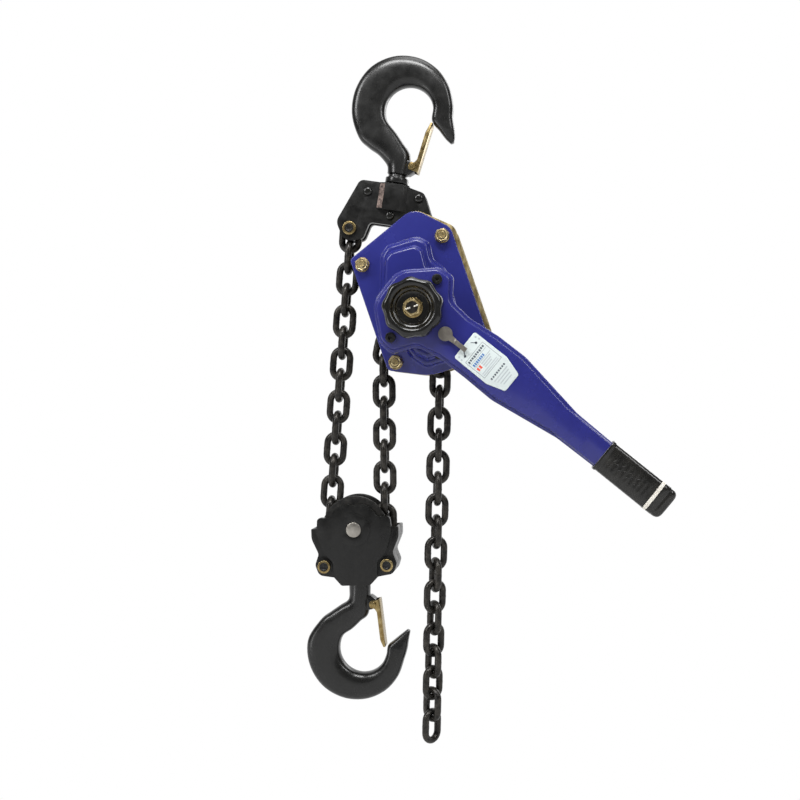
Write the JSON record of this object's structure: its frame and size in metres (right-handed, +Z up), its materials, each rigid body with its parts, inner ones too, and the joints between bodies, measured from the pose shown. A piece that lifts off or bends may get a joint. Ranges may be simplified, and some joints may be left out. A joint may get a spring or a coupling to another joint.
{
  "type": "lever chain hoist",
  "caption": "Come along winch with a ratchet lever, a load chain over two sheaves, a top hook on a yoke and a swivelling bottom hook with spring latches.",
  "frame": {"origin": "seat of the top hook, in the middle of the hook's thickness", "axes": "+Z up along the hanging hoist, +X towards the lever's side, +Y towards the gear case, so the handwheel faces -Y"},
  "size_m": [0.5004, 0.1783, 0.9563],
  "materials": {
    "forged_black": "satin black over a forged surface",
    "chain_black": "oiled black",
    "blue_paint": "glossy blue enamel",
    "lever_blue": "glossy royal blue enamel",
    "gold_plate": "yellow zinc plate",
    "yellow_zinc": "yellow zinc plate",
    "bright_steel": "machined",
    "dark_steel": "black oxide",
    "bearing_bronze": "sintered",
    "wheel_black": "satin black enamel",
    "screw_black": "black oxide",
    "grip_rubber": "matt",
    "label": "printed film"
  },
  "bodies": {
    "frame": {"yoke_plate_front": "forged_black", "yoke_plate_rear": "forged_black", "yoke_rivets": "forged_black", "yoke_spacers": "dark_steel", "anchor_bolt": "yellow_zinc", "anchor_nut": "yellow_zinc", "top_pin": "bright_steel", "top_pin_spacers": "bright_steel", "side_plate_front": "gold_plate", "side_plate_rear": "gold_plate", "stay_bolts": "bright_steel", "stay_nuts": "yellow_zinc", "stay_washers": "yellow_zinc", "brake_cover": "blue_paint", "gear_case": "blue_paint", "sheave_bearings": "bearing_bronze", "chain_guide": "dark_steel", "chain_stripper": "dark_steel", "chain_left_strand": "chain_black", "chain_middle_strand": "chain_black", "chain_on_load_sheave": "chain_black", "chain_on_idler_sheave": "chain_black", "pawl_pins": "bright_steel"},
    "top_hook": {"top_hook": "forged_black", "top_hook_collar": "forged_black", "top_hook_nut": "dark_steel", "top_latch_pin": "bright_steel"},
    "top_latch": {"top_latch": "yellow_zinc"},
    "load_sheave": {"load_sheave": "dark_steel", "load_gear": "bright_steel"},
    "disc_gear_upper": {"disc_gear_upper": "bright_steel"},
    "disc_gear_lower": {"disc_gear_lower": "bright_steel"},
    "drive": {"drive_shaft": "bright_steel", "brake_hub": "dark_steel", "friction_discs": "bearing_bronze", "change_gear": "bright_steel", "handwheel": "wheel_black", "wheel_washer": "yellow_zinc", "castle_nut": "yellow_zinc", "cotter_pin": "bright_steel"},
    "ratchet": {"ratchet_disc": "bright_steel"},
    "pawl_upper": {"pawl_upper": "dark_steel"},
    "pawl_lower": {"pawl_lower": "dark_steel"},
    "lever": {"lever_rear_shell": "lever_blue", "lever_front_shell": "lever_blue", "lever_screws": "screw_black", "lever_grip": "grip_rubber", "label_plate": "label"},
    "selector": {"selector_lever": "bright_steel"},
    "selector_pawl": {"selector_pawl": "dark_steel"},
    "idler": {"idler_sheave": "dark_steel"},
    "block": {"block_front": "forged_black", "block_rear": "forged_black", "block_bolts": "yellow_zinc", "idler_axle": "bright_steel"},
    "bottom_hook": {"bottom_hook": "forged_black", "bottom_hook_nut": "dark_steel", "bottom_latch_pin": "bright_steel"},
    "bottom_latch": {"bottom_latch": "yellow_zinc"},
    "tail": {"chain_tail": "chain_black"}
  },
  "joints": [
    {"name": "top_hook_swivel", "type": "hinge", "parent": "frame", "child": "top_hook", "pos_m": [-0.02574, 0, -0.14779], "axis": [0.1564, 0, 0.9877], "continuous": true},
    {"name": "top_latch_hinge", "type": "hinge", "parent": "top_hook", "child": "top_latch", "pos_m": [-0.00086, 0, -0.11154], "axis": [0, 1, 0], "range_deg": [-36, 0], "stiffness_Nm_per_rad": 0.06, "springref_deg": 34.38},
    {"name": "drive_turn", "type": "hinge", "parent": "frame", "child": "drive", "pos_m": [0.0104, 0, -0.3145], "axis": [0, 1, 0], "continuous": true},
    {"name": "load_sheave_turn", "type": "hinge", "parent": "frame", "child": "load_sheave", "pos_m": [0.0104, 0, -0.3145], "axis": [0, 1, 0], "continuous": true},
    {"name": "upper_disc_gear_turn", "type": "hinge", "parent": "frame", "child": "disc_gear_upper", "pos_m": [-0.00327, 0, -0.27479], "axis": [0, 1, 0], "continuous": true},
    {"name": "lower_disc_gear_turn", "type": "hinge", "parent": "frame", "child": "disc_gear_lower", "pos_m": [0.02407, 0, -0.35421], "axis": [0, 1, 0], "continuous": true},
    {"name": "ratchet_play", "type": "hinge", "parent": "frame", "child": "ratchet", "pos_m": [0.0104, 0, -0.3145], "axis": [0, 1, 0], "range_deg": [0, 3]},
    {"name": "upper_pawl_lift", "type": "hinge", "parent": "frame", "child": "pawl_upper", "pos_m": [-0.018, 0, -0.25659], "axis": [0, 1, 0], "range_deg": [-12, 0], "stiffness_Nm_per_rad": 0.05, "springref_deg": 20.05},
    {"name": "lower_pawl_lift", "type": "hinge", "parent": "frame", "child": "pawl_lower", "pos_m": [0.0388, 0, -0.37241], "axis": [0, 1, 0], "range_deg": [-12, 0], "stiffness_Nm_per_rad": 0.05, "springref_deg": 20.05},
    {"name": "lever_swing", "type": "hinge", "parent": "frame", "child": "lever", "pos_m": [0.0104, 0, -0.3145], "axis": [0, 1, 0], "continuous": true},
    {"name": "selector_switch", "type": "hinge", "parent": "lever", "child": "selector", "pos_m": [0.05237, 0, -0.34848], "axis": [0, 1, 0], "range_deg": [-20, 20]},
    {"name": "selector_pawl_tilt", "type": "hinge", "parent": "lever", "child": "selector_pawl", "pos_m": [0.05237, 0, -0.34848], "axis": [0, 1, 0], "range_deg": [-5, 5]},
    {"name": "idler_turn", "type": "hinge", "parent": "frame", "child": "idler", "pos_m": [-0.0786, 0, -0.61322], "axis": [0, 1, 0], "continuous": true},
    {"name": "block_swing", "type": "hinge", "parent": "frame", "child": "block", "pos_m": [-0.0786, 0, -0.61322], "axis": [0, 1, 0], "range_deg": [-4, 10]},
    {"name": "bottom_hook_swivel", "type": "hinge", "parent": "block", "child": "bottom_hook", "pos_m": [-0.07483, 0, -0.70314], "axis": [-0.0419, 0, 0.9991], "continuous": true},
    {"name": "bottom_latch_hinge", "type": "hinge", "parent": "bottom_hook", "child": "bottom_latch", "pos_m": [-0.05534, 0, -0.71934], "axis": [0, 1, 0], "range_deg": [0, 36], "stiffness_Nm_per_rad": 0.06, "springref_deg": -34.38},
    {"name": "tail_swing", "type": "hinge", "parent": "frame", "child": "tail", "pos_m": [0.04477, 0, -0.33408], "axis": [0, 1, 0], "range_deg": [-25, 1]}
  ],
  "couplings": [
    {"joint": "load_sheave_turn", "follows": "drive_turn", "ratio": 0.11111},
    {"joint": "upper_disc_gear_turn", "follows": "drive_turn", "ratio": -0.33333},
    {"joint": "lower_disc_gear_turn", "follows": "drive_turn", "ratio": -0.33333},
    {"joint": "selector_pawl_tilt", "follows": "selector_switch", "ratio": 0.24}
  ]
}
